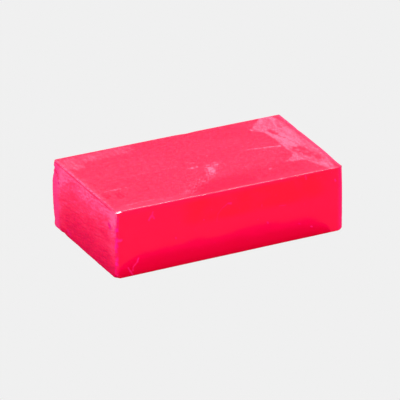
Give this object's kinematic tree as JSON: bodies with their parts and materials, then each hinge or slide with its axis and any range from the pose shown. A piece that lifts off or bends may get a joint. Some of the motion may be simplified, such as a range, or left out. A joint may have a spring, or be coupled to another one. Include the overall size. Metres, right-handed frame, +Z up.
{
  "type": "translucent wax bar",
  "caption": "Small rectangular bar of dyed, translucent red wax with softly rounded edges, one smooth cast end and one rough cut end. It lies flat on its largest face.",
  "frame": {"origin": "centre of the underside, the flat face the bar rests on", "axes": "+X along the bar's length towards its smooth cast end, so -X is the rough cut end; +Y across the bar's width, to the side with the chip; +Z up, through its thickness"},
  "size_m": [0.07, 0.0382, 0.0202],
  "materials": {
    "dyed_wax": "satin"
  },
  "bodies": {
    "root": {"wax_bar": "dyed_wax"}
  },
  "joints": []
}
